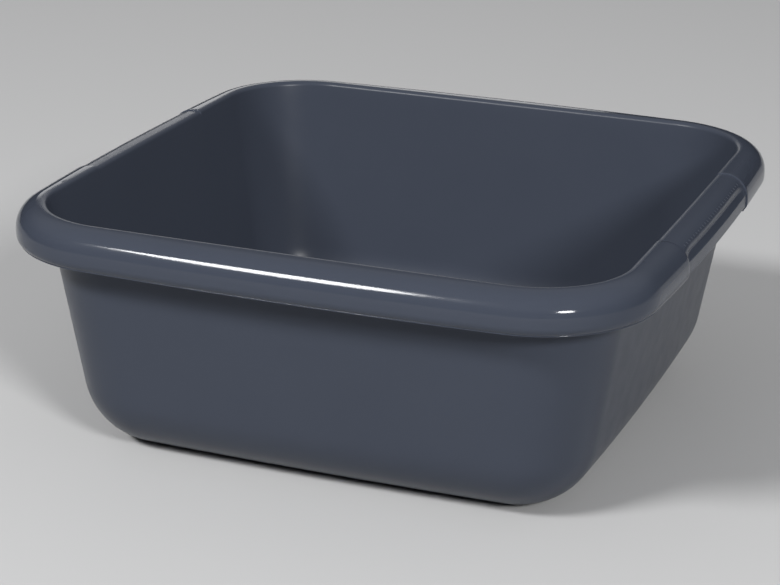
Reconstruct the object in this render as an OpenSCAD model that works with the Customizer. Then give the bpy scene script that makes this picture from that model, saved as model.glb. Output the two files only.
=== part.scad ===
// Square washing up bowl
// One plastic moulding: tapered walls, ball corners at the heel, a broad rounded rim with a skirt
// and a recessed hand grip on the left and on the right.
// It is drawn as the regions of the moulding, each its own solid, which meet face to face.
// Millimetres, +Z up. The origin is under the middle of the bowl, on the surface it stands on.

/* [Bowl] */

// Overall width and depth, over the middle of the bowed sides
bowl_w = 380; // [340:1:420]
// Overall height
bowl_h = 146; // [130:1:160]
// How far the middle of each side bows outward
side_bow = 2; // [1:0.5:4]
// Distance of the corner centres from the sides of the straight-sided box
corner_c = 75; // [72:1:84]
// Thickness of the plastic, the same all over
wall_t = 2.5; // [2:0.1:2.8]
// Taper of the walls from plumb, in degrees
wall_draft = 9.5; // [8:0.5:10.5]

/* [Rim] */

// Width of the rim, from its edge to the outside of the wall
rim_w = 17.2; // [16:0.1:19]
// Height of the rim with its skirt
rim_h = 22.5; // [21:0.5:26]
// Radius of the rounded shoulder
shoulder_r = 14; // [13:0.5:14]
// Radius that turns the lower edge of the skirt inward
curl_r = 5.5; // [4.5:0.5:6]
// Radius of the inner edge at the mouth
mouth_r = 3; // [2:0.5:3.5]

/* [Foot] */

// Width of the ring the bowl stands on
foot_w = 8; // [6:1:12]
// Height of the floor panel's underside above the ring's lower face
floor_rise = 1.5; // [1:0.5:2.5]
// Diameter of the shallow recess under the middle of the floor
gate_d = 12; // [8:1:20]
// Depth of that recess
gate_depth = 0.4; // [0.2:0.1:0.8]

/* [Grips] */

// Length of each grip along the side
grip_l = 138; // [120:1:150]
// Depth of the finger groove, from the side of the rim
groove_d = 4.3; // [3.5:0.1:4.5]
// Radius on which the groove runs out at each end
run_r = 44; // [30:1:60]
// Height of the crease under the groove, below the top of the rim
crease_h = 11.5; // [11:0.5:13]
// How far the lip under the crease stands back from the side of the rim
lip_inset = 0.8; // [0.5:0.1:1]
// How much higher the lip ends than the skirt
lip_rise = 3.5; // [2:0.5:4]
// Number of anti-slip ribs on each grip
rib_n = 21; // [11:2:21]
// Distance between the ribs
rib_pitch = 4.8; // [4:0.1:4.8]
// Width of a rib
rib_w = 2; // [1.5:0.1:2.4]
// Height of a rib
rib_h = 0.35; // [0.2:0.05:0.5]

/* [Hidden] */

$fn = 96;
side_fn = 2880; // facets in a full turn of the very large arcs that bow the sides
over = 1;       // how far a cutting shape runs past what it cuts
wall_c = "#464b55";
rim_c = "#4e535d";
grip_c = "#454b55";

// The straight-sided box that the sides bow out from, and the corner centres inside it
half = bowl_w / 2 - side_bow;
centre = half - corner_c;
// A side is one arc that runs on smoothly into the corner arcs at this angle
turn = 2 * atan(side_bow / centre);
side_r = centre / sin(turn) + corner_c;
side_x = half + side_bow - side_r;

// The heel radius that ends under the corner centres, so each corner of the heel is a ball
heel_r = (corner_c - rim_w - bowl_h * tan(wall_draft)) * cos(wall_draft) / (1 - sin(wall_draft));

// The foot starts just outside the corner centres, where the heel is all but level
foot_half = centre + 3;
foot_r = 5;
panel_half = foot_half - foot_w;
panel_r = 10;

slab_w = 24;    // reach of the rim's top, well past the wall
shoulder_z = bowl_h - shoulder_r;
skirt_z = bowl_h - rim_h;
curl_z = skirt_z + curl_r;

// The shoulder blends into the grip's groove with a tighter radius
blend_r = 4;
blend_x = groove_d + blend_r;
blend_z = shoulder_z + sqrt(pow(shoulder_r - blend_r, 2) - pow(shoulder_r - blend_x, 2));
blend_a = acos((shoulder_r - blend_x) / (shoulder_r - blend_r));
crease_z = bowl_h - crease_h;
lip_z = skirt_z + lip_rise;
run_out = sqrt(2 * run_r * groove_d - pow(groove_d, 2));
grip_a = asin(grip_l / 2 / side_r);
groove_a = asin((grip_l / 2 - run_out) / side_r);

// Distance of the wall's outer face from the box's side at a height, `inside` further in
function wall_x(z, inside = 0) = rim_w + inside / cos(wall_draft) + (bowl_h - z) * tan(wall_draft);

// Sweeps. A section is drawn with x = 0 at the side of the box and negative inward.

// Carries a section round the back right corner
module corner_sweep() {
    translate([centre, centre, 0])
        rotate_extrude(angle = 90 - 2 * turn, start = turn)
            translate([corner_c, 0])
                children();
}

// Carries a section along the right side, between two angles of its arc
module side_sweep(from = -turn, to = turn) {
    translate([side_x, 0, 0])
        rotate_extrude(angle = to - from, start = from, $fn = side_fn)
            translate([side_r, 0])
                children();
}

// Plan shapes

module rounded_square(h, r) {
    square([2 * h, 2 * (h - r)], center = true);
    square([2 * (h - r), 2 * h], center = true);
    for (x = [-1, 1], y = [-1, 1])
        translate([x * (h - r), y * (h - r)])
            circle(r);
}

module quarter(r) {
    intersection() {
        circle(r);
        square(r);
    }
}

// Sections of the walls

// Everything inside the wall, from the heel up to the height `top`
module wall_outline(inside, top) {
    r = heel_r - inside;
    z = heel_r - r * sin(wall_draft);
    polygon([[-corner_c, z],
             [-wall_x(z, inside), z],
             [-wall_x(top, inside), top],
             [-corner_c, top]]);
    intersection() {
        translate([-corner_c, heel_r])
            circle(r);
        translate([-corner_c, heel_r - r])
            square([r, r * (1 - sin(wall_draft))]);
    }
}

// What the rounded inner edge takes off the top of the wall
module mouth_cut() {
    x = -wall_x(bowl_h, wall_t) + mouth_r * (1 - sin(wall_draft)) / cos(wall_draft);
    z = bowl_h - mouth_r;
    difference() {
        polygon([[x, z],
                 [x, bowl_h + over],
                 [-wall_x(bowl_h + over, wall_t), bowl_h + over],
                 [x - mouth_r * cos(wall_draft), z + mouth_r * sin(wall_draft)]]);
        translate([x, z])
            circle(mouth_r);
    }
}

module wall_section() {
    difference() {
        wall_outline(0, bowl_h);
        wall_outline(wall_t, bowl_h + over);
        mouth_cut();
    }
}

// Sections of the rim

// The rim filled in: round shoulder, plumb side and turned-in lower edge
module rim_outline(inside) {
    translate([-shoulder_r, shoulder_z])
        quarter(shoulder_r - inside);
    translate([-curl_r, curl_z])
        mirror([0, 1])
            quarter(curl_r - inside);
    translate([-slab_w, shoulder_z])
        square([slab_w - shoulder_r, shoulder_r - inside]);
    translate([-slab_w, curl_z])
        square([slab_w - inside, shoulder_z - curl_z]);
    translate([-slab_w, skirt_z + inside])
        square([slab_w - curl_r, curl_r - inside]);
}

// The rim as moulded: a top that leaves the wall and a skirt, open underneath
module rim_section() {
    difference() {
        rim_outline(0);
        rim_outline(wall_t);
        translate([-slab_w - over, skirt_z - over])
            square([slab_w - curl_r + over, rim_h - shoulder_r]);
        polygon([[-slab_w - over, shoulder_z],
                 [-wall_x(shoulder_z), shoulder_z],
                 [-wall_x(bowl_h + over), bowl_h + over],
                 [-slab_w - over, bowl_h + over]]);
    }
}

// The extra plastic inside the skirt that backs the finger groove and the set-back lip
module groove_backing() {
    deep = groove_d + wall_t;
    thin = lip_inset + wall_t;
    z = crease_z - wall_t;
    intersection() {
        rim_outline(0);
        union() {
            translate([-deep, z])
                square([deep, bowl_h - z]);
            translate([-thin, lip_z])
                square([thin, z - lip_z]);
        }
    }
}

// What the groove and the set-back lip take off the side of the rim
module groove_cut() {
    out = 2 * over;
    difference() {
        union() {
            polygon([[-groove_d, blend_z],
                     [-groove_d, crease_z + groove_d - lip_inset],
                     [-lip_inset, crease_z],
                     [-lip_inset, skirt_z - over],
                     [out, skirt_z - over],
                     [out, blend_z]]);
            polygon([[-blend_x, blend_z],
                     [out, blend_z],
                     [out, bowl_h],
                     [-blend_x + blend_r * cos(blend_a), blend_z + blend_r * sin(blend_a)]]);
        }
        translate([-blend_x, blend_z])
            circle(blend_r);
    }
}

// A thin arch over the blend, which sinks into the shoulder above it
module rib_section() {
    difference() {
        translate([-blend_x, blend_z])
            quarter(blend_r + rib_h);
        difference() {
            rim_outline(0);
            groove_cut();
        }
    }
}

// Floor and foot

// The space that the floor and foot take out of the walls' heel
module foot_space() {
    translate([0, 0, -over])
        linear_extrude(heel_r)
            rounded_square(foot_half, foot_r);
}

module floor_panel() {
    color(wall_c)
        difference() {
            translate([0, 0, floor_rise])
                linear_extrude(wall_t)
                    rounded_square(panel_half, panel_r);
            translate([0, 0, floor_rise - over])
                cylinder(h = gate_depth + over, d = gate_d);
        }
}

module foot_ring() {
    color(wall_c)
        difference() {
            union() {
                linear_extrude(wall_t)
                    rounded_square(foot_half, foot_r);
                linear_extrude(floor_rise + wall_t)
                    rounded_square(panel_half + wall_t, panel_r + wall_t);
            }
            translate([0, 0, -over])
                linear_extrude(floor_rise + wall_t + 2 * over)
                    rounded_square(panel_half, panel_r);
        }
}

// Walls

module side_wall() {
    color(wall_c)
        difference() {
            side_sweep()
                wall_section();
            foot_space();
        }
}

module corner_wall() {
    color(wall_c)
        difference() {
            corner_sweep()
                wall_section();
            foot_space();
        }
}

module front_wall() { rotate([0, 0, -90]) side_wall(); }
module right_wall() { side_wall(); }
module back_wall() { rotate([0, 0, 90]) side_wall(); }
module left_wall() { rotate([0, 0, 180]) side_wall(); }

module front_left_corner() { rotate([0, 0, 180]) corner_wall(); }
module front_right_corner() { rotate([0, 0, -90]) corner_wall(); }
module back_right_corner() { corner_wall(); }
module back_left_corner() { rotate([0, 0, 90]) corner_wall(); }

// Rim

module side_rim() {
    color(rim_c)
        side_sweep()
            rim_section();
}

module corner_rim() {
    color(rim_c)
        corner_sweep()
            rim_section();
}

module front_rim() { rotate([0, 0, -90]) side_rim(); }
module back_rim() { rotate([0, 0, 90]) side_rim(); }

module front_left_rim() { rotate([0, 0, 180]) corner_rim(); }
module front_right_rim() { rotate([0, 0, -90]) corner_rim(); }
module back_right_rim() { corner_rim(); }
module back_left_rim() { rotate([0, 0, 90]) corner_rim(); }

// The rest of the rim beside the back end of the right grip
module rim_stub() {
    color(rim_c)
        side_sweep(grip_a, turn)
            rim_section();
}

module right_rim_front() { mirror([0, 1, 0]) rim_stub(); }
module right_rim_back() { rim_stub(); }
module left_rim_front() { rotate([0, 0, 180]) rim_stub(); }
module left_rim_back() { mirror([1, 0, 0]) rim_stub(); }

// Grips, in the middle of the right and the left side of the rim

// The rim with the backing of its groove, and the skirt ended higher up
module grip_section() {
    difference() {
        union() {
            rim_section();
            groove_backing();
        }
        translate([-slab_w, skirt_z - over])
            square([slab_w + over, lip_rise + over]);
    }
}

// The stretch where the groove keeps its depth
module grip() {
    color(grip_c)
        side_sweep(-groove_a, groove_a)
            difference() {
                grip_section();
                groove_cut();
            }
}

// The back end of the right grip, where the groove runs out on a large radius to a crisp edge
module grip_end() {
    lead_in = 5;
    color(grip_c)
        difference() {
            side_sweep(groove_a, grip_a)
                grip_section();
            translate([side_x, 0, 0])
                rotate([0, 0, groove_a])
                    translate([side_r - groove_d + run_r, 0, 0])
                        rotate_extrude(angle = 90 + lead_in, start = 90 - lead_in, $fn = 4 * $fn)
                            translate([run_r - groove_d, 0])
                                mirror([1, 0])
                                    groove_cut();
        }
}

module grip_ribs() {
    pitch_a = asin(rib_pitch / side_r);
    rib_a = asin(rib_w / 2 / side_r);
    color(grip_c)
        for (i = [0:rib_n - 1]) {
            a = (i - (rib_n - 1) / 2) * pitch_a;
            side_sweep(a - rib_a, a + rib_a)
                rib_section();
        }
}

module right_grip() { grip(); }
module right_grip_front_end() { mirror([0, 1, 0]) grip_end(); }
module right_grip_back_end() { grip_end(); }
module right_grip_ribs() { grip_ribs(); }
module left_grip() { rotate([0, 0, 180]) grip(); }
module left_grip_front_end() { rotate([0, 0, 180]) grip_end(); }
module left_grip_back_end() { mirror([1, 0, 0]) grip_end(); }
module left_grip_ribs() { rotate([0, 0, 180]) grip_ribs(); }

floor_panel();
foot_ring();
front_wall();
right_wall();
back_wall();
left_wall();
front_left_corner();
front_right_corner();
back_right_corner();
back_left_corner();
front_rim();
back_rim();
right_rim_front();
right_rim_back();
left_rim_front();
left_rim_back();
front_left_rim();
front_right_rim();
back_right_rim();
back_left_rim();
right_grip();
right_grip_front_end();
right_grip_back_end();
right_grip_ribs();
left_grip();
left_grip_front_end();
left_grip_back_end();
left_grip_ribs();
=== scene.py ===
"""Washing up bowl: the visual model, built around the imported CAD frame.

The bowl is one injection moulding in polypropylene. Each region of the moulding is a closed
solid here too, swept from its section along the bowl's outline, and it meets its neighbours
face to face. Lengths in the geometry classes are millimetres; meshes are written in metres.
"""

import logging
import math
from dataclasses import dataclass
from enum import Enum
from typing import Any, Callable, Iterable, Iterator

import bmesh
import bpy
from mathutils import Matrix, Vector


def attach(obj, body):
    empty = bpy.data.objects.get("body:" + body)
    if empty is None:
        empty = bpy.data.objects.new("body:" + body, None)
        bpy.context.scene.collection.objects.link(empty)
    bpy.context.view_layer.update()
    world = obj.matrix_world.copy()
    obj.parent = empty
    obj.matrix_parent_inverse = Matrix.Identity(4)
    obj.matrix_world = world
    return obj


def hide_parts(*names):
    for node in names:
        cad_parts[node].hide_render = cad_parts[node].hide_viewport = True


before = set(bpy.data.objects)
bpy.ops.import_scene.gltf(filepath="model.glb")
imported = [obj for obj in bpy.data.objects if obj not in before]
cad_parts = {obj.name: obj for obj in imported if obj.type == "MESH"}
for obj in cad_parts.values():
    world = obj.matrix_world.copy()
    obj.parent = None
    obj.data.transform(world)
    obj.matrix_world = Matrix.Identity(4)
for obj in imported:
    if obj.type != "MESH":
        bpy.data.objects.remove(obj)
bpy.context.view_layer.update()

LOG = logging.getLogger("washing_up_bowl")
METRES = 0.001  # one millimetre in metres
BODY = "root"  # the bowl is one rigid body


# Outlines


class Side(Enum):
    """The four sides of the bowl, by the turn that carries the right side onto each."""

    RIGHT = 0
    BACK = 1
    LEFT = 2
    FRONT = 3


@dataclass(frozen=True)
class Column:
    """A place on the way round the bowl, seen from above, counter-clockwise from the right side.

    Attributes:
        side: The side it lies on, or whose far corner it lies in.
        along: Distance from the middle of the side, negative before it.
        turned: Share of the corner behind it, or None on the side itself.
    """

    side: Side
    along: float = 0.0
    turned: float | None = None

    def grip_distance(self) -> float:
        """Returns the distance from the middle of a grip, endless on a side without one."""
        if self.turned is None and self.side in (Side.RIGHT, Side.LEFT):
            return abs(self.along)
        return math.inf


@dataclass(frozen=True)
class Outline:
    """A square with bowed sides that run on smoothly into round corners.

    Attributes:
        corner: Distance of the corner centres from the sides of the straight-sided box.
        bow: How far the middle of each side bows outward from that box.
    """

    corner: float
    bow: float

    HALF = 187.0  # half the width of the straight-sided box
    NOMINAL = 120.0  # where a side ends, on the scale of Column.along
    TRUE_SPAN = 106.0  # up to here Column.along is a true distance
    SHORT_SPAN = 85.0  # the same on an outline whose sides end before that, the floor panel's

    def point(self, column: Column, inset: float) -> Vector:
        """Places a column on this outline.

        Args:
            column: Where on the way round.
            inset: How far inside the outline.

        Returns:
            The point, with a height of zero.
        """
        centre = self.HALF - self.corner
        turn = 2 * math.atan(self.bow / centre)
        reach = centre / math.sin(turn)
        if column.turned is None:
            radius = reach + self.corner - inset
            y = self._true_distance(column.along, radius * math.sin(turn))
            x = self.HALF + self.bow - reach - self.corner + math.sqrt(radius**2 - y**2)
        else:
            angle = turn + column.turned * (math.pi / 2 - 2 * turn)
            radius = self.corner - inset
            x = centre + radius * math.cos(angle)
            y = centre + radius * math.sin(angle)
        return Matrix.Rotation(column.side.value * math.pi / 2, 3, "Z") @ Vector((x, y, 0.0))

    def _true_distance(self, along: float, end: float) -> float:
        """Stretches the last part of a side so that it ends where this outline's corner starts."""
        distance = abs(along)
        span = self.TRUE_SPAN if end > self.TRUE_SPAN else self.SHORT_SPAN
        if distance > span:
            share = (distance - span) / (self.NOMINAL - span)
            distance = span + share * (end - span)
        return math.copysign(distance, along)


@dataclass(frozen=True)
class Station:
    """A point of a section.

    Attributes:
        inset: How far inside the outline.
        height: Height above the floor.
        outline: The outline it follows round the bowl.
    """

    inset: float
    height: float
    outline: Outline

    def at(self, column: Column) -> Vector:
        """Returns its place at a column, in metres."""
        place = self.outline.point(column, self.inset)
        place.z = self.height
        return place * METRES


Section = Callable[[Column], list[Station]]
Point = tuple[float, float]  # a point of a section, as (inset, height)


def on_circle(centre: Point, radius: float, angle: float) -> Point:
    """Returns the point of a circle in a section at an angle in degrees, 0 outward and 90 up."""
    turned = math.radians(angle)
    return centre[0] - radius * math.cos(turned), centre[1] + radius * math.sin(turned)


def arc(
    centre: Point, radius: float, start: float, stop: float, steps: int
) -> Iterator[Point]:
    """Yields points of an arc in a section.

    Args:
        centre: Inset and height of its centre.
        radius: Its radius.
        start: First angle in degrees, 0 outward and 90 up.
        stop: Last angle in degrees.
        steps: Number of steps between them.

    Yields:
        The points, the first and the last among them.
    """
    for i in range(steps + 1):
        yield on_circle(centre, radius, start + (stop - start) * i / steps)


# Sweeping a section round the bowl


def way_round() -> list[Column]:
    """Returns every column of the bowl, in order, closer together at the ends of a grip."""
    middle = [2.5 * i for i in range(20)]  # the full groove of a grip
    run_out = [50.0 + i for i in range(19)]  # where the groove runs out
    step = [68.9, 69.0, 69.05, 69.1, 69.2, 69.3]  # the crisp edge at the end of a grip
    rest = [72.0, 78.0, 85.0, 92.0, 99.0, Outline.TRUE_SPAN, 113.0, Outline.NOMINAL]
    half = middle + run_out + step + rest
    side = [-distance for distance in reversed(half[1:])] + half
    corner_steps = 30
    columns = []
    for which in Side:
        columns += [Column(which, along) for along in side]
        columns += [Column(which, turned=i / corner_steps) for i in range(1, corner_steps)]
    return columns


COLUMNS = way_round()


def index_of(side: Side, along: float) -> int:
    """Returns the index of the column at a distance along a side."""
    return COLUMNS.index(Column(side, along))


@dataclass
class Solid:
    """A closed solid that a section sweeps between two columns, or all the way round.

    Attributes:
        name: Name of the piece.
        section: Gives the closed section at a column, as a list of stations.
        first: Index of its first column.
        last: Index of its last column, or None for all the way round.
    """

    name: str
    section: Section
    first: int = 0
    last: int | None = None

    CREASE = math.radians(28)  # faces that meet at more than this keep a sharp edge

    def build(self) -> bpy.types.Mesh:
        """Builds the mesh.

        One more column is swept at each end, so that the shading there is that of the whole
        moulding, and is cut off again before the ends are closed.

        Returns:
            The closed mesh, with its shading kept in custom normals.
        """
        whole = self.last is None
        count = len(COLUMNS) if whole else (self.last - self.first) % len(COLUMNS)
        ahead = 0 if whole else 1
        columns = [
            COLUMNS[(self.first + i) % len(COLUMNS)] for i in range(-ahead, count + 1 + ahead)
        ]
        rows = [self.section(column) for column in columns]
        shape = bmesh.new()
        spare = shape.faces.layers.int.new("spare")
        across = len(rows[0])
        bmesh.ops.create_grid(shape, x_segments=across, y_segments=len(rows) - 1, size=1)
        for face in shape.faces:
            row = self._grid_index(face.calc_center_median().y, len(rows) - 1)
            face[spare] = int(not whole and not 1 < row < len(rows) - 2)
        for vertex in shape.verts:
            row = round(self._grid_index(vertex.co.y, len(rows) - 1))
            place = round(self._grid_index(vertex.co.x, across)) % across
            vertex.co = rows[row][place].at(columns[row])
        bmesh.ops.remove_doubles(shape, verts=shape.verts, dist=1e-7)
        if not whole:
            self._close_ends(shape)
        bmesh.ops.recalc_face_normals(shape, faces=shape.faces)
        self._keep_shading(shape)
        if not whole:
            bmesh.ops.delete(
                shape,
                geom=[f for f in shape.faces if f[spare] or len(f.verts) > 4],
                context="FACES",
            )
            self._close_ends(shape)
            bmesh.ops.recalc_face_normals(shape, faces=shape.faces)
        return self._written(shape)

    @staticmethod
    def _grid_index(position: float, segments: int) -> float:
        """Turns a coordinate of the unit grid into a count of its segments."""
        return (position + 1) / 2 * segments

    @staticmethod
    def _close_ends(shape: bmesh.types.BMesh) -> None:
        """Closes the open ends of a swept section with flat faces."""
        rim = [edge for edge in shape.edges if edge.is_boundary]
        bmesh.ops.holes_fill(shape, edges=rim, sides=0)

    def _keep_shading(self, shape: bmesh.types.BMesh) -> None:
        """Notes each corner's normal, so that it survives the cuts.

        Args:
            shape: The mesh, which gains a layer of kept normals.
        """
        for face in shape.faces:
            face.smooth = len(face.verts) <= 4
        for edge in shape.edges:
            edge.smooth = edge.calc_face_angle(math.pi) < self.CREASE
        shape.faces.index_update()
        draft = bpy.data.meshes.new("draft")
        shape.to_mesh(draft)
        normals = [corner.vector.copy() for corner in draft.corner_normals]
        bpy.data.meshes.remove(draft)
        kept = shape.loops.layers.float_vector.new("kept_normal")
        corners = (corner for face in shape.faces for corner in face.loops)
        for corner, normal in zip(corners, normals):
            corner[kept] = normal

    def _written(self, shape: bmesh.types.BMesh) -> bpy.types.Mesh:
        """Writes the shape to a mesh with its kept shading.

        Args:
            shape: The finished shape, which is freed.

        Returns:
            The mesh.
        """
        mesh = bpy.data.meshes.new(self.name)
        shape.to_mesh(mesh)
        shape.free()
        kept = mesh.attributes["kept_normal"]
        normals = [tuple(item.vector) for item in kept.data]
        mesh.attributes.remove(kept)
        mesh.attributes.remove(mesh.attributes["spare"])
        mesh.normals_split_custom_set(normals)
        return mesh


# Finishes


def linear(colour: str) -> tuple[float, float, float, float]:
    """Turns an sRGB hex colour into linear values with full alpha."""
    channels = [int(colour[i : i + 2], 16) / 255 for i in (1, 3, 5)]
    values = [c / 12.92 if c <= 0.04045 else ((c + 0.055) / 1.055) ** 2.4 for c in channels]
    return (values[0], values[1], values[2], 1.0)


def add_node(
    tree: bpy.types.NodeTree,
    kind: str,
    inputs: dict[Any, Any] | None = None,
    **settings: Any,
) -> bpy.types.Node:
    """Adds a node with its settings and links.

    Args:
        tree: The node tree.
        kind: The node's type.
        inputs: Values or output sockets, by the name or index of the input they go to.
        **settings: Properties of the node.

    Returns:
        The node.
    """
    node = tree.nodes.new(kind)
    for name, value in settings.items():
        setattr(node, name, value)
    for key, value in (inputs or {}).items():
        if isinstance(value, bpy.types.NodeSocket):
            tree.links.new(value, node.inputs[key])
        else:
            node.inputs[key].default_value = value
    return node


@dataclass(frozen=True)
class MouldedPolypropylene:
    """Injection moulded polypropylene, coloured in the mass.

    The eye sees a dark, slightly blue grey with a soft gloss: the faint orange peel of the
    moulded surface bends the reflections a little, and rubbing has dulled them in patches.

    Attributes:
        name: Name of the material.
        pale: Colour where the pigment lies thinnest.
        deep: Colour where it lies thickest.
        glint: Strength of its reflections, 0.5 for bare clean plastic.
        roughness: Roughness of the clean surface.
        dulled: Roughness that rubbing adds at most.
        peel: Size of the orange peel's cells in millimetres.
        peel_height: Height of the orange peel in millimetres.
    """

    name: str
    pale: str
    deep: str
    glint: float
    roughness: float
    dulled: float
    peel: float
    peel_height: float

    IOR = 1.49  # polypropylene
    FLOW = 60.0  # width in millimetres of the faint clouds that the melt's flow leaves
    FLOW_DETAIL = 3.0
    RUB = 14.0  # width in millimetres of the rubbed patches
    RUB_DETAIL = 6.0
    RUB_STARTS = 0.35  # value of the noise at which a patch begins
    RUB_FULL = 0.75  # value at which it is fully dulled
    PEEL_DETAIL = 1.0

    def material(self) -> bpy.types.Material:
        """Builds the material, or returns it if it is already there."""
        if self.name in bpy.data.materials:
            return bpy.data.materials[self.name]
        material = bpy.data.materials.new(self.name)
        material.use_nodes = True
        tree = material.node_tree
        tree.nodes.clear()
        place = add_node(tree, "ShaderNodeTexCoord").outputs["Object"]
        flow = self._noise(tree, place, self.FLOW, self.FLOW_DETAIL)
        # A colour mix has its factor at 0, its two colours at 6 and 7, and its result at 2
        cloud = add_node(
            tree,
            "ShaderNodeMix",
            {0: flow, 6: linear(self.pale), 7: linear(self.deep)},
            data_type="RGBA",
        )
        rub = self._noise(tree, place, self.RUB, self.RUB_DETAIL)
        roughness = add_node(
            tree,
            "ShaderNodeMapRange",
            {
                "Value": rub,
                "From Min": self.RUB_STARTS,
                "From Max": self.RUB_FULL,
                "To Min": self.roughness,
                "To Max": self.roughness + self.dulled,
            },
        )
        peel = add_node(
            tree,
            "ShaderNodeBump",
            {
                "Height": self._noise(tree, place, self.peel, self.PEEL_DETAIL),
                "Strength": 1.0,
                "Distance": self.peel_height * METRES,
            },
        )
        shader = add_node(
            tree,
            "ShaderNodeBsdfPrincipled",
            {
                "Base Color": cloud.outputs[2],
                "Roughness": roughness.outputs["Result"],
                "Normal": peel.outputs["Normal"],
                "IOR": self.IOR,
                "Specular IOR Level": self.glint,
            },
        )
        add_node(tree, "ShaderNodeOutputMaterial", {"Surface": shader.outputs["BSDF"]})
        return material

    @staticmethod
    def _noise(
        tree: bpy.types.NodeTree, place: bpy.types.NodeSocket, size: float, detail: float
    ) -> bpy.types.NodeSocket:
        """Adds noise whose cells have a size in millimetres, and returns its value."""
        noise = add_node(
            tree,
            "ShaderNodeTexNoise",
            {"Vector": place, "Scale": 1 / (size * METRES), "Detail": detail},
        )
        return noise.outputs["Fac"]


# Satin mould surface of the walls, inside and out: broad soft reflections, no streaks
WALL_FINISH = MouldedPolypropylene(
    "polypropylene_satin_walls", "#3d424d", "#3a3f4a", 0.16, 0.28, 0.05, 2.2, 0.0006
)
# Polished mould surface of the rim: narrow streaks of light, a little dulled by hands
RIM_FINISH = MouldedPolypropylene(
    "polypropylene_rubbed_rim", "#3d424d", "#3a3f4a", 0.21, 0.08, 0.04, 2.2, 0.0012
)
# Satin mould surface of the grips: the finger groove stays dark beside the glossy rim
GRIP_FINISH = MouldedPolypropylene(
    "polypropylene_satin_grip", "#3d424d", "#3a3f4a", 0.13, 0.2, 0.05, 1.6, 0.0014
)
# Spark-eroded mould surface of the anti-slip ribs: finely grained and duller
RIB_FINISH = MouldedPolypropylene(
    "polypropylene_grained_ribs", "#3b404b", "#383d48", 0.3, 0.30, 0.08, 0.5, 0.004
)
# Turned mould surface of the base: dull, and lightly scraped where it slides on a worktop
BASE_FINISH = MouldedPolypropylene(
    "polypropylene_scraped_foot", "#3e434e", "#373c47", 0.3, 0.34, 0.18, 1.2, 0.006
)


# The moulding's regions


def dress(
    mesh: bpy.types.Mesh, finish: MouldedPolypropylene, nodes: Iterable[str]
) -> bpy.types.Object:
    """Puts a mesh in the scene as a piece of the bowl.

    Args:
        mesh: The finished mesh.
        finish: Its finish.
        nodes: The CAD nodes it stands for.

    Returns:
        The piece.
    """
    piece = bpy.data.objects.new(mesh.name, mesh)
    bpy.context.scene.collection.objects.link(piece)
    mesh.materials.append(finish.material())
    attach(piece, BODY)
    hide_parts(*nodes)
    LOG.info("%s: %d faces, for %s", mesh.name, len(mesh.polygons), ", ".join(nodes))
    return piece


@dataclass
class Grips:
    """How the rim's section changes along the hand grips.

    Attributes:
        half_length: From the middle of a grip to the crisp edge at its end.
        full_length: From the middle to where the groove starts to run out.
        run_radius: Radius on which the groove runs out.
        recess: How far the whole grip lies below the rim around it.
        edge_radius: Rounding of the crisp edge.
        groove: Depth of the finger groove.
        lip: How far the lip under the groove stands back.
        lip_end: Height at which the lip ends.
        crease: Height of the crease between the groove's ledge and the lip.
        ledge: Height at which the groove's face turns out to the ledge.
        blend: Radius of the shoulder above the groove.
        hollow: Radius between the groove's face and its ledge.
        ridge: Radius of the crease.
        lip_edge: Rounding of the lip's lower edge.
    """

    half_length: float = 69.0
    full_length: float = 50.0
    run_radius: float = 44.0
    recess: float = 0.7
    edge_radius: float = 0.3
    groove: float = 4.3
    lip: float = 1.0
    lip_end: float = 127.0
    crease: float = 134.9
    ledge: float = 137.4
    blend: float = 3.0
    hollow: float = 1.6
    ridge: float = 0.9
    lip_edge: float = 0.8

    STEEP = 0.05  # how far inside its end a grip has its own section, past the rounded edge

    def recessed(self, column: Column) -> float:
        """Returns how far the grip's own section has taken over, from 0 to 1."""
        past = column.grip_distance() - self.half_length
        if past < -self.STEEP:
            return 1.0
        if past >= self.edge_radius:
            return 0.0
        rounding = self.edge_radius - math.sqrt(
            max(self.edge_radius**2 - (self.edge_radius - past) ** 2, 0.0)
        )
        return rounding / self.recess

    def grooved(self, column: Column) -> float:
        """Returns the groove's share of its full depth at a column."""
        past = column.grip_distance() - self.full_length
        if past <= 0:
            return 1.0
        if past >= self.half_length - self.full_length:
            return 0.0
        risen = self.run_radius - math.sqrt(self.run_radius**2 - past**2)
        return max(1 - risen / self.groove, 0.0)


GRIPS = Grips()


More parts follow.
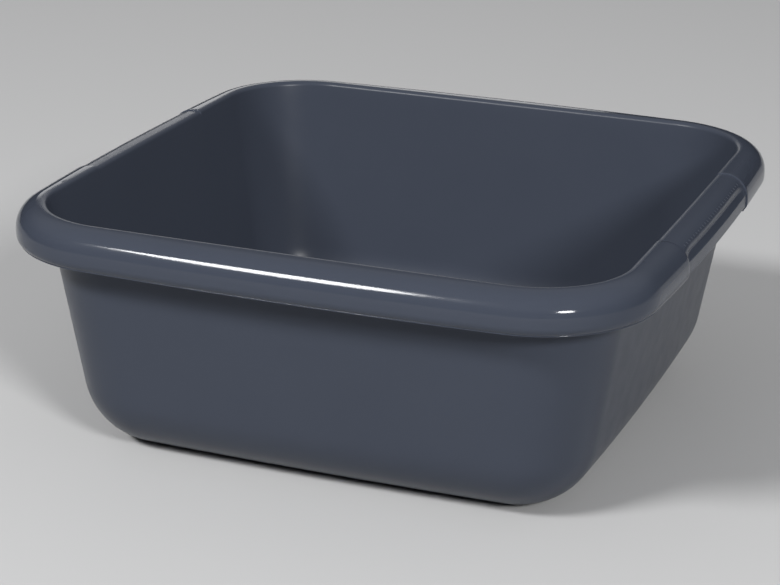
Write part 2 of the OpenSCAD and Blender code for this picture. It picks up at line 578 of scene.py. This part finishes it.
@dataclass
class Walls:
    """The four walls and four corners of the tub.

    Attributes:
        height: Height of the bowl.
        outside: Inset of the wall's outer face at the top.
        draft: Taper of the walls in degrees.
        thickness: Thickness of the plastic. Not used.
        heel: Outer radius of the heel.
        corner_top: Outline corner at the top of the outer face.
        corner_foot: Outline corner at the foot.
        bow: Bow of the walls.
        mouth: Outline of the mouth.
        mouth_inset: Inset of the inner face where it would meet the top.
        mouth_radius: Rounding of the edge of the mouth.
        seam_inset: Where the rim's top ends, on the mouth's outline.
        under_rim: Height at which the rim's underside meets the wall.
        foot_inset: Where the foot ring takes over.
    """

    height: float = 146.0
    outside: float = 15.5
    draft: float = 9.24
    thickness: float = 2.4
    heel: float = 43.7
    corner_top: float = 73.0
    corner_foot: float = 79.3
    bow: float = 1.8
    mouth: Outline = Outline(70.0, 0.5)
    mouth_inset: float = 17.9
    mouth_radius: float = 3.1
    seam_inset: float = 14.6
    under_rim: float = 142.6
    foot_inset: float = 71.0

    BEHIND_SKIRT = 133.0  # height of the outer face's last row, hidden by the skirt

    def face(self, height: float, inside: bool) -> Station:
        """Returns the station of the straight part of a face at a height."""
        down = self.height - height
        share = down / self.height
        inset = self.outside + down * math.tan(math.radians(self.draft))
        corner = self.corner_top + share * (self.corner_foot - self.corner_top)
        bow = self.bow
        if inside:
            inset += self.mouth_inset - self.outside
            corner = self.mouth.corner + share * (self.corner_foot - self.mouth.corner)
            bow = self.mouth.bow + share * (self.bow - self.mouth.bow)
        return Station(inset, height, Outline(corner, bow))

    def heel_arc(self, inside: bool, steps: int = 20) -> list[Station]:
        """Returns the heel's stations from the wall down to the foot."""
        slant = math.radians(self.draft)
        tangent = self.face(self.heel * (1 - math.sin(slant)), False)
        centre = tangent.inset + self.heel * math.cos(slant)
        wall = self.mouth_inset - self.outside
        radius = self.heel - (wall * math.cos(slant) if inside else 0.0)
        lift = self.heel - radius
        last = -math.degrees(math.acos(min((centre - self.foot_inset) / radius, 1.0)))
        stations = []
        for inset, height in arc((centre, self.heel), radius, -self.draft, last, steps):
            near = self.face(height - lift, inside)
            stations.append(Station(inset, height, near.outline))
        return stations

    def seam(self, column: Column) -> list[Station]:
        """Returns the two stations between which the rim meets the wall, top first."""
        top = self.height - GRIPS.recess * GRIPS.recessed(column)
        under = self.face(self.under_rim, False)
        return [Station(self.seam_inset, top, self.mouth), under]

    def section(self, column: Column) -> list[Station]:
        """Returns the wall's closed section at a column, from the mouth down the inside."""
        top, under = self.seam(column)
        drop = self.height - top.height
        slant = math.radians(self.draft)
        reach = self.mouth_radius * (1 - math.sin(slant)) / math.cos(slant)
        centre = (self.mouth_inset - reach, self.height - self.mouth_radius - drop)
        stations = [top]
        for inset, height in arc(centre, self.mouth_radius, 90, 180 - self.draft, 8):
            stations.append(Station(inset, height, self.mouth))
        heights = [136.0, 124.0, 110.0, 96.0, 82.0, 68.0, 55.0, 46.0]  # the straight part
        stations += [self.face(height, True) for height in heights]
        stations += self.heel_arc(True)
        stations += reversed(self.heel_arc(False))
        stations += [self.face(height, False) for height in reversed(heights[1:])]
        stations += [self.face(self.BEHIND_SKIRT, False), under]
        return stations

    def build(self) -> None:
        """Builds the eight pieces."""
        for side in Side:
            name = side.name.lower()
            first = index_of(side, -Outline.TRUE_SPAN)
            last = index_of(side, Outline.TRUE_SPAN)
            solid = Solid(f"moulded_{name}_wall", self.section, first, last)
            dress(solid.build(), WALL_FINISH, [f"{name}_wall"])
        for side, corner in CORNERS.items():
            first = index_of(side, Outline.TRUE_SPAN)
            last = index_of(Side((side.value + 1) % 4), -Outline.TRUE_SPAN)
            solid = Solid(f"moulded_{corner}_corner", self.section, first, last)
            dress(solid.build(), WALL_FINISH, [f"{corner}_corner"])


# The corner that follows each side on the way round
CORNERS = {
    Side.RIGHT: "back_right",
    Side.BACK: "back_left",
    Side.LEFT: "front_left",
    Side.FRONT: "front_right",
}


@dataclass
class Rim:
    """The rim with its skirt, and the grips in its left and right sides.

    Attributes:
        walls: The walls that carry it.
        outline: Outline of its outer edge.
        shoulder: Radius of the shoulder.
        thickness: Thickness of the plastic.
        skirt_end: Height of the skirt's lower edge.
        curl: Radius that turns the skirt's lower edge inward.
        seam: Radius of the fine bead that the mould's parting line leaves on the curl.
        seam_angle: Where on the curl it runs, in degrees.
    """

    walls: Walls
    outline: Outline = Outline(70.0, 3.0)
    shoulder: float = 14.0
    thickness: float = 2.5
    skirt_end: float = 123.5
    curl: float = 5.5
    seam: float = 0.4
    seam_angle: float = -57.0

    BEAD_PROUD = 0.25  # how far the bead's centre stands off the curl, in its own radii
    CURL_GAP = (7.0, -9.0)  # where the curl stops and goes on, in degrees from the bead
    BEAD_ARC = (102.0, -83.0)  # the part of the bead that shows, in degrees from its middle
    LIP_ROWS = (0.4, 0.6)  # first height and spacing of the rows behind a grip's lip

    def _shoulder_centre(self) -> Point:
        """Returns the inset and height of the shoulder's centre."""
        return self.shoulder, self.walls.height - self.shoulder

    def blend_centre(self) -> Point:
        """Returns the centre of the shoulder's blend into the groove of a grip."""
        inset, height = self._shoulder_centre()
        across = inset - GRIPS.groove - GRIPS.blend
        reach = self.shoulder - GRIPS.recess - GRIPS.blend
        return GRIPS.groove + GRIPS.blend, height + math.sqrt(reach**2 - across**2)

    def _pocket(self) -> list[Point]:
        """Returns the grip's outer profile where the groove is deepest, down to the lip."""
        grip = GRIPS
        inset, height = self._shoulder_centre()
        blend = self.blend_centre()
        blend_angle = math.degrees(math.atan2(blend[1] - height, inset - blend[0]))
        points = list(arc((inset, height), self.shoulder - grip.recess, 90, blend_angle, 8))
        points += list(arc(blend, grip.blend, blend_angle, 0, 8))[1:]
        slope = math.degrees(math.atan2(grip.ledge - grip.crease, grip.groove - grip.lip))
        tangent = math.tan(math.radians((90 - slope) / 2))
        hollow = (grip.groove - grip.hollow, grip.ledge + grip.hollow * tangent)
        points += arc(hollow, grip.hollow, 180, 270 - slope, 6)
        ridge = (grip.lip + grip.ridge, grip.crease - grip.ridge * tangent)
        points += arc(ridge, grip.ridge, 90 - slope, 0, 4)
        return points

    def _profile(self) -> tuple[list[Point], list[Point], list[Point]]:
        """Returns the outer profiles, point for point: the rim's, the grip's, and the groove's."""
        inset, height = self._shoulder_centre()
        recess = GRIPS.recess
        pocket = self._pocket()
        plain, grip = [], []
        for _, level in pocket:
            up = min(max((level - height) / (self.shoulder - recess), 0.0), 1.0)
            out = math.sqrt(1 - up**2)
            plain.append((inset - self.shoulder * out, level + recess * up))
            grip.append((inset - (self.shoulder - recess) * out, level))
        plain.append((0.0, height))
        grip.append((recess, height))
        pocket.append((GRIPS.lip, height))
        edge = GRIPS.lip_edge
        curl = self._curl()
        for share, point in enumerate(curl):
            plain.append(point)
            angle = -math.radians(90 * share / (len(curl) - 1))
            drop = edge * (1 + math.sin(angle))
            for profile, face in ((grip, recess), (pocket, GRIPS.lip)):
                profile.append((face + edge * (1 - math.cos(angle)), GRIPS.lip_end + drop))
        return plain, grip, pocket

    def _curl(self) -> list[Point]:
        """Returns the curl of the skirt's lower edge with the bead on it, from the side down."""
        centre = (self.curl, self.skirt_end + self.curl)
        middle = self.seam_angle
        bead = on_circle(centre, self.curl + self.seam * self.BEAD_PROUD, middle)
        points = list(arc(centre, self.curl, 0, middle + self.CURL_GAP[0], 6))
        points += arc(bead, self.seam, middle + self.BEAD_ARC[0], middle + self.BEAD_ARC[1], 8)
        points += arc(centre, self.curl, middle + self.CURL_GAP[1], -90, 3)
        return points

    def _lining(self) -> tuple[list[Point], list[Point], list[Point]]:
        """Returns the inner profiles, from the lower edge up to the wall, point for point."""
        inset, height = self._shoulder_centre()
        wall = self.thickness
        inner = self.shoulder - wall
        plain = [(self.curl, self.skirt_end + wall)]
        plain += arc((self.curl, self.skirt_end + self.curl), self.curl - wall, -70, 0, 5)
        in_curl = len(plain)
        plain.append((wall, height))
        plain += arc((inset, height), inner, 15, 90, 8)
        grip, pocket = [], []
        step = GRIPS.crease - wall
        start, spacing = self.LIP_ROWS
        for number, (x, z) in enumerate(plain):
            low = number < in_curl
            z_grip = GRIPS.lip_end + start + spacing * number if low else z - GRIPS.recess
            grip.append((GRIPS.recess + wall if low else x + GRIPS.recess, z_grip))
            deep = GRIPS.groove + wall if z_grip > step else GRIPS.lip + wall
            pocket.append((max(deep, x), z_grip))
        return plain, grip, pocket

    def section(self, column: Column) -> list[Station]:
        """Returns the rim's closed section at a column, from the seam over the top and back."""
        top, under = self.walls.seam(column)
        taken = GRIPS.recessed(column)
        grooved = GRIPS.grooved(column) if taken == 1.0 else 0.0
        stations = [top]
        for profiles in (self._profile(), self._lining()):
            for plain, grip, pocket in zip(*profiles):
                inset = plain[0] + taken * (grip[0] - plain[0]) + grooved * (pocket[0] - grip[0])
                height = plain[1] + taken * (grip[1] - plain[1])
                stations.append(Station(inset, height, self.outline))
        stations.append(under)
        return stations

    def _add(self, node: str, first: int, last: int) -> None:
        """Builds one piece of the rim for a CAD node."""
        solid = Solid(f"moulded_{node}", self.section, first, last)
        finish = GRIP_FINISH if "grip" in node else RIM_FINISH
        dress(solid.build(), finish, [node])

    def build(self) -> None:
        """Builds the plain sides, the corners, the grips with their ends, and the rest."""
        end = Outline.TRUE_SPAN
        for side in (Side.FRONT, Side.BACK):
            self._add(f"{side.name.lower()}_rim", index_of(side, -end), index_of(side, end))
        for side, corner in CORNERS.items():
            following = Side((side.value + 1) % 4)
            self._add(f"{corner}_rim", index_of(side, end), index_of(following, -end))
        marks = [-end, -GRIPS.half_length, -GRIPS.full_length]
        marks += [-mark for mark in reversed(marks)]
        for side in (Side.RIGHT, Side.LEFT):
            name = side.name.lower()
            ends = ("front", "back") if side is Side.RIGHT else ("back", "front")
            nodes = [
                f"{name}_rim_{ends[0]}",
                f"{name}_grip_{ends[0]}_end",
                f"{name}_grip",
                f"{name}_grip_{ends[1]}_end",
                f"{name}_rim_{ends[1]}",
            ]
            for node, first, last in zip(nodes, marks, marks[1:]):
                self._add(node, index_of(side, first), index_of(side, last))


@dataclass
class Ribs:
    """The fine anti-slip ribs over the shoulder of each grip.

    Attributes:
        rim: The rim they stand on.
        number: Ribs on each grip.
        pitch: Distance between them.
        width: Width of a rib.
        height: Height of a rib in its middle.
        sunk: How much tighter than the shoulder a rib bends, so that its ends sink in.
        lean: Angle of its middle on the shoulder, in degrees up from the side.
        reach: Angle that a rib's bead turns through, in degrees.
    """

    rim: Rim
    number: int = 27
    pitch: float = 4.75
    width: float = 1.3
    height: float = 0.13
    sunk: float = 0.12
    lean: float = 54.0
    reach: float = 26.0

    def _rib(self, shape: bmesh.types.BMesh, side: Side, along: float) -> None:
        """Adds one rib: a flattened bead spun round the shoulder's blend.

        Args:
            shape: The mesh it is added to.
            side: The side it stands on.
            along: Its distance from the middle of that side.
        """
        outline = self.rim.outline
        lean = math.radians(self.lean)
        inset, height = on_circle(self.rim.blend_centre(), self.sunk, self.lean)
        column = Column(side, along)
        axis = Station(inset, height, outline).at(column)
        outward = Station(0, height, outline).at(column) - axis
        outward.normalize()
        along_side = Vector((0, 0, 1)).cross(outward)
        start = Matrix.Rotation(lean - math.radians(self.reach) / 2, 3, -along_side)
        made = bmesh.ops.create_circle(shape, segments=12, radius=1.0)
        for vertex in made["verts"]:
            flat, up = vertex.co.x * self.width / 2, vertex.co.y * self.height
            offset = along_side * flat + outward * (GRIPS.blend - self.sunk + up)
            vertex.co = axis + start @ offset * METRES
        ring = made["verts"] + list({edge for v in made["verts"] for edge in v.link_edges})
        bmesh.ops.spin(
            shape,
            geom=ring,
            cent=axis,
            axis=-along_side,
            angle=math.radians(self.reach),
            steps=8,
        )

    def build(self) -> None:
        """Builds one piece of ribs for each grip."""
        for side in (Side.RIGHT, Side.LEFT):
            name = side.name.lower()
            shape = bmesh.new()
            for i in range(self.number):
                self._rib(shape, side, (i - (self.number - 1) / 2) * self.pitch)
            open_ends = [edge for edge in shape.edges if edge.is_boundary]
            bmesh.ops.holes_fill(shape, edges=open_ends, sides=0)
            bmesh.ops.recalc_face_normals(shape, faces=shape.faces)
            for face in shape.faces:
                face.smooth = len(face.verts) <= 4
            mesh = bpy.data.meshes.new(f"moulded_{name}_grip_ribs")
            shape.to_mesh(mesh)
            shape.free()
            dress(mesh, RIB_FINISH, [f"{name}_grip_ribs"])


@dataclass
class Base:
    """The foot ring and the floor panel inside it.

    Attributes:
        walls: The walls that stand on it.
        panel: Outline of the floor panel.
        panel_inset: Inset of the floor panel's edge.
        rise: Height of the panel's underside.
        thickness: Thickness of the plastic.
        gate: Diameter of the shallow recess in the middle of the underside.
        gate_depth: Depth of that recess.
        edge: Rounding of the foot's edges.
    """

    walls: Walls
    panel: Outline = Outline(89.0, 1.8)
    panel_inset: float = 79.0
    rise: float = 1.5
    thickness: float = 2.5
    gate: float = 12.0
    gate_depth: float = 0.4
    edge: float = 0.3

    def ring_section(self, column: Column) -> list[Station]:
        """Returns the foot ring's closed section, the same all the way round."""
        outer, inner = self.walls.heel_arc(False)[-1], self.walls.heel_arc(True)[-1]
        top, edge = self.rise + self.thickness, self.edge
        # Distance outside the panel and height: up the soft step inside, then down to the foot
        beside_panel = [
            (3.2, inner.height - 0.1),
            (2.2, inner.height + 0.3),
            (1.4, top - 0.3),
            (0.6, top),
            (0.0, top),
            (0.0, self.rise),
            (edge, self.rise - edge),
            (edge, edge),
            (2 * edge, 0.0),
        ]
        stations = [inner]
        for away, height in beside_panel:
            stations.append(Station(self.panel_inset - away, height, self.panel))
        foot = Station(self.walls.foot_inset + 2 * edge, 0.0, outer.outline)
        return stations + [foot, outer]

    def build(self) -> None:
        """Builds the ring and the panel."""
        ring = Solid("moulded_foot_ring", self.ring_section)
        dress(ring.build(), BASE_FINISH, ["foot_ring"])
        dress(self._panel(), BASE_FINISH, ["floor_panel"])

    def _panel(self) -> bpy.types.Mesh:
        """Builds the floor panel with the recess in its underside.

        Returns:
            The closed mesh.
        """
        shape = bmesh.new()
        count = len(COLUMNS)
        edge = [Station(self.panel_inset, self.rise, self.panel).at(c) for c in COLUMNS]
        made = bmesh.ops.create_circle(shape, segments=count, radius=1.0)["verts"]
        for vertex, place in zip(made, edge):
            vertex.co = place
        outer = list(shape.edges)
        mark = bmesh.ops.create_circle(
            shape,
            segments=count,
            radius=self.gate / 2 * METRES,
            matrix=Matrix.Translation((0, 0, self.rise * METRES)),
        )["verts"]
        inner = list({e for v in mark for e in v.link_edges})
        bmesh.ops.bridge_loops(shape, edges=outer + inner)
        for loop, height in ((inner, self.gate_depth), (outer, self.thickness)):
            made = bmesh.ops.extrude_edge_only(shape, edges=loop)["geom"]
            raised = [v for v in made if isinstance(v, bmesh.types.BMVert)]
            bmesh.ops.translate(shape, verts=raised, vec=(0, 0, height * METRES))
        rims = [e for e in shape.edges if e.is_boundary]
        bmesh.ops.holes_fill(shape, edges=rims, sides=0)
        bmesh.ops.recalc_face_normals(shape, faces=shape.faces)
        mesh = bpy.data.meshes.new("moulded_floor_panel")
        shape.to_mesh(mesh)
        shape.free()
        return mesh


# The studio


def direction(azimuth: float, elevation: float) -> Vector:
    """Returns the direction from the bowl to a place around it.

    Args:
        azimuth: In degrees from the front to the right.
        elevation: In degrees.
    """
    az, el = math.radians(azimuth), math.radians(elevation)
    return Vector((math.sin(az) * math.cos(el), -math.cos(az) * math.cos(el), math.sin(el)))


@dataclass(frozen=True)
class Softbox:
    """An oval soft light that faces the bowl.

    Attributes:
        name: Name of the light.
        azimuth: Where it hangs, in degrees from the front to the right.
        elevation: Its elevation in degrees.
        size: Its width and height in metres.
        power: Its power in watts.
    """

    name: str
    azimuth: float
    elevation: float
    size: tuple[float, float]
    power: float

    AWAY = 4.5  # distance in metres
    AIM = 0.1  # height in metres of the point that it hangs around

    def hang(self) -> None:
        """Makes the light."""
        data = bpy.data.lights.new(self.name, "AREA")
        data.shape = "ELLIPSE"
        data.size, data.size_y = self.size
        data.energy = self.power
        light = bpy.data.objects.new(self.name, data)
        bpy.context.scene.collection.objects.link(light)
        toward = direction(self.azimuth, self.elevation)
        light.location = toward * self.AWAY + Vector((0, 0, self.AIM))
        light.rotation_mode = "QUATERNION"
        light.rotation_quaternion = toward.to_track_quat("Z", "Y")


SOFTBOXES = (
    Softbox("key_softbox", -30.0, 40.0, (1.35, 0.7), 152.0),  # the streak on the front rim
    Softbox("side_softbox", 46.0, 27.5, (1.0, 0.8), 142.0),  # the right wall and grip
    Softbox("edge_softbox", -154.0, 13.0, (1.9, 0.8), 6.0),  # the edge of the mouth
)


@dataclass
class Studio:
    """Pale floor, soft light and the camera.

    Attributes:
        azimuth: Where the camera stands, in degrees from the front to the right.
        elevation: Its elevation in degrees.
        roll: How far it is turned about its own axis, in degrees.
        distance: From the target, in millimetres.
        target: The point at the middle of the picture, in millimetres.
        focal: Focal length, in picture widths.
    """

    azimuth: float = 21.05
    elevation: float = 19.68
    roll: float = 0.89
    distance: float = 1440.87
    target: tuple[float, float, float] = (-34.9, 63.62, 42.756)
    focal: float = 2262.54 / 780

    SENSOR = 36.0  # width in millimetres
    FLOOR_HALF = 6.0  # half the floor's width in metres
    DIM_BELOW = 14.0  # elevation in degrees up to which the surroundings stay dim
    BRIGHT_ABOVE = 46.0  # elevation from which the overhead glow is full
    DIM = 0.01  # strength of the dim part
    BRIGHT = 0.36  # strength of the glow

    def camera(self) -> None:
        """Makes the camera at the photograph's viewing angle."""
        data = bpy.data.cameras.new("camera")
        data.sensor_width = self.SENSOR
        data.lens = self.focal * self.SENSOR
        data.clip_start = 0.01
        data.clip_end = 50.0
        camera = bpy.data.objects.new("camera", data)
        bpy.context.scene.collection.objects.link(camera)
        az = math.radians(self.azimuth)
        back = direction(self.azimuth, self.elevation)
        right = Vector((math.cos(az), math.sin(az), 0.0))
        up = back.cross(right)
        turn = Matrix((right, up, back)).transposed().to_4x4()
        turn = turn @ Matrix.Rotation(math.radians(self.roll), 4, "Z")
        place = (Vector(self.target) + back * self.distance) * METRES
        camera.matrix_world = Matrix.Translation(place) @ turn
        bpy.context.scene.camera = camera

    def floor(self) -> None:
        """Lays the pale floor."""
        shape = bmesh.new()
        bmesh.ops.create_grid(shape, x_segments=1, y_segments=1, size=self.FLOOR_HALF)
        mesh = bpy.data.meshes.new("floor")
        shape.to_mesh(mesh)
        shape.free()
        floor = bpy.data.objects.new("floor", mesh)
        bpy.context.scene.collection.objects.link(floor)
        material = bpy.data.materials.new("pale_floor")
        material.use_nodes = True
        shader = material.node_tree.nodes["Principled BSDF"]
        shader.inputs["Base Color"].default_value = linear("#c0c0c0")
        shader.inputs["Roughness"].default_value = 0.9
        mesh.materials.append(material)

    def light(self) -> None:
        """Hangs the soft lights and wraps the scene in a soft overhead glow."""
        for softbox in SOFTBOXES:
            softbox.hang()
        world = bpy.data.worlds.new("studio")
        bpy.context.scene.world = world
        world.use_nodes = True
        tree = world.node_tree
        outward = add_node(tree, "ShaderNodeTexCoord").outputs["Generated"]
        up = add_node(tree, "ShaderNodeSeparateXYZ", {"Vector": outward})
        glow = add_node(
            tree,
            "ShaderNodeMapRange",
            {
                "Value": up.outputs["Z"],
                "From Min": math.sin(math.radians(self.DIM_BELOW)),
                "From Max": math.sin(math.radians(self.BRIGHT_ABOVE)),
                "To Min": self.DIM,
                "To Max": self.BRIGHT,
            },
            interpolation_type="SMOOTHSTEP",
        )
        background = tree.nodes["Background"]
        background.inputs["Color"].default_value = linear("#fbfcff")
        tree.links.new(glow.outputs["Result"], background.inputs["Strength"])
        bpy.context.scene.view_settings.view_transform = "Standard"


def main() -> None:
    """Builds the bowl and the studio around it."""
    logging.basicConfig(level=logging.INFO, format="%(message)s")
    walls = Walls()
    rim = Rim(walls)
    walls.build()
    rim.build()
    Ribs(rim).build()
    Base(walls).build()
    studio = Studio()
    studio.camera()
    studio.floor()
    studio.light()


if __name__ == "__main__":
    main()
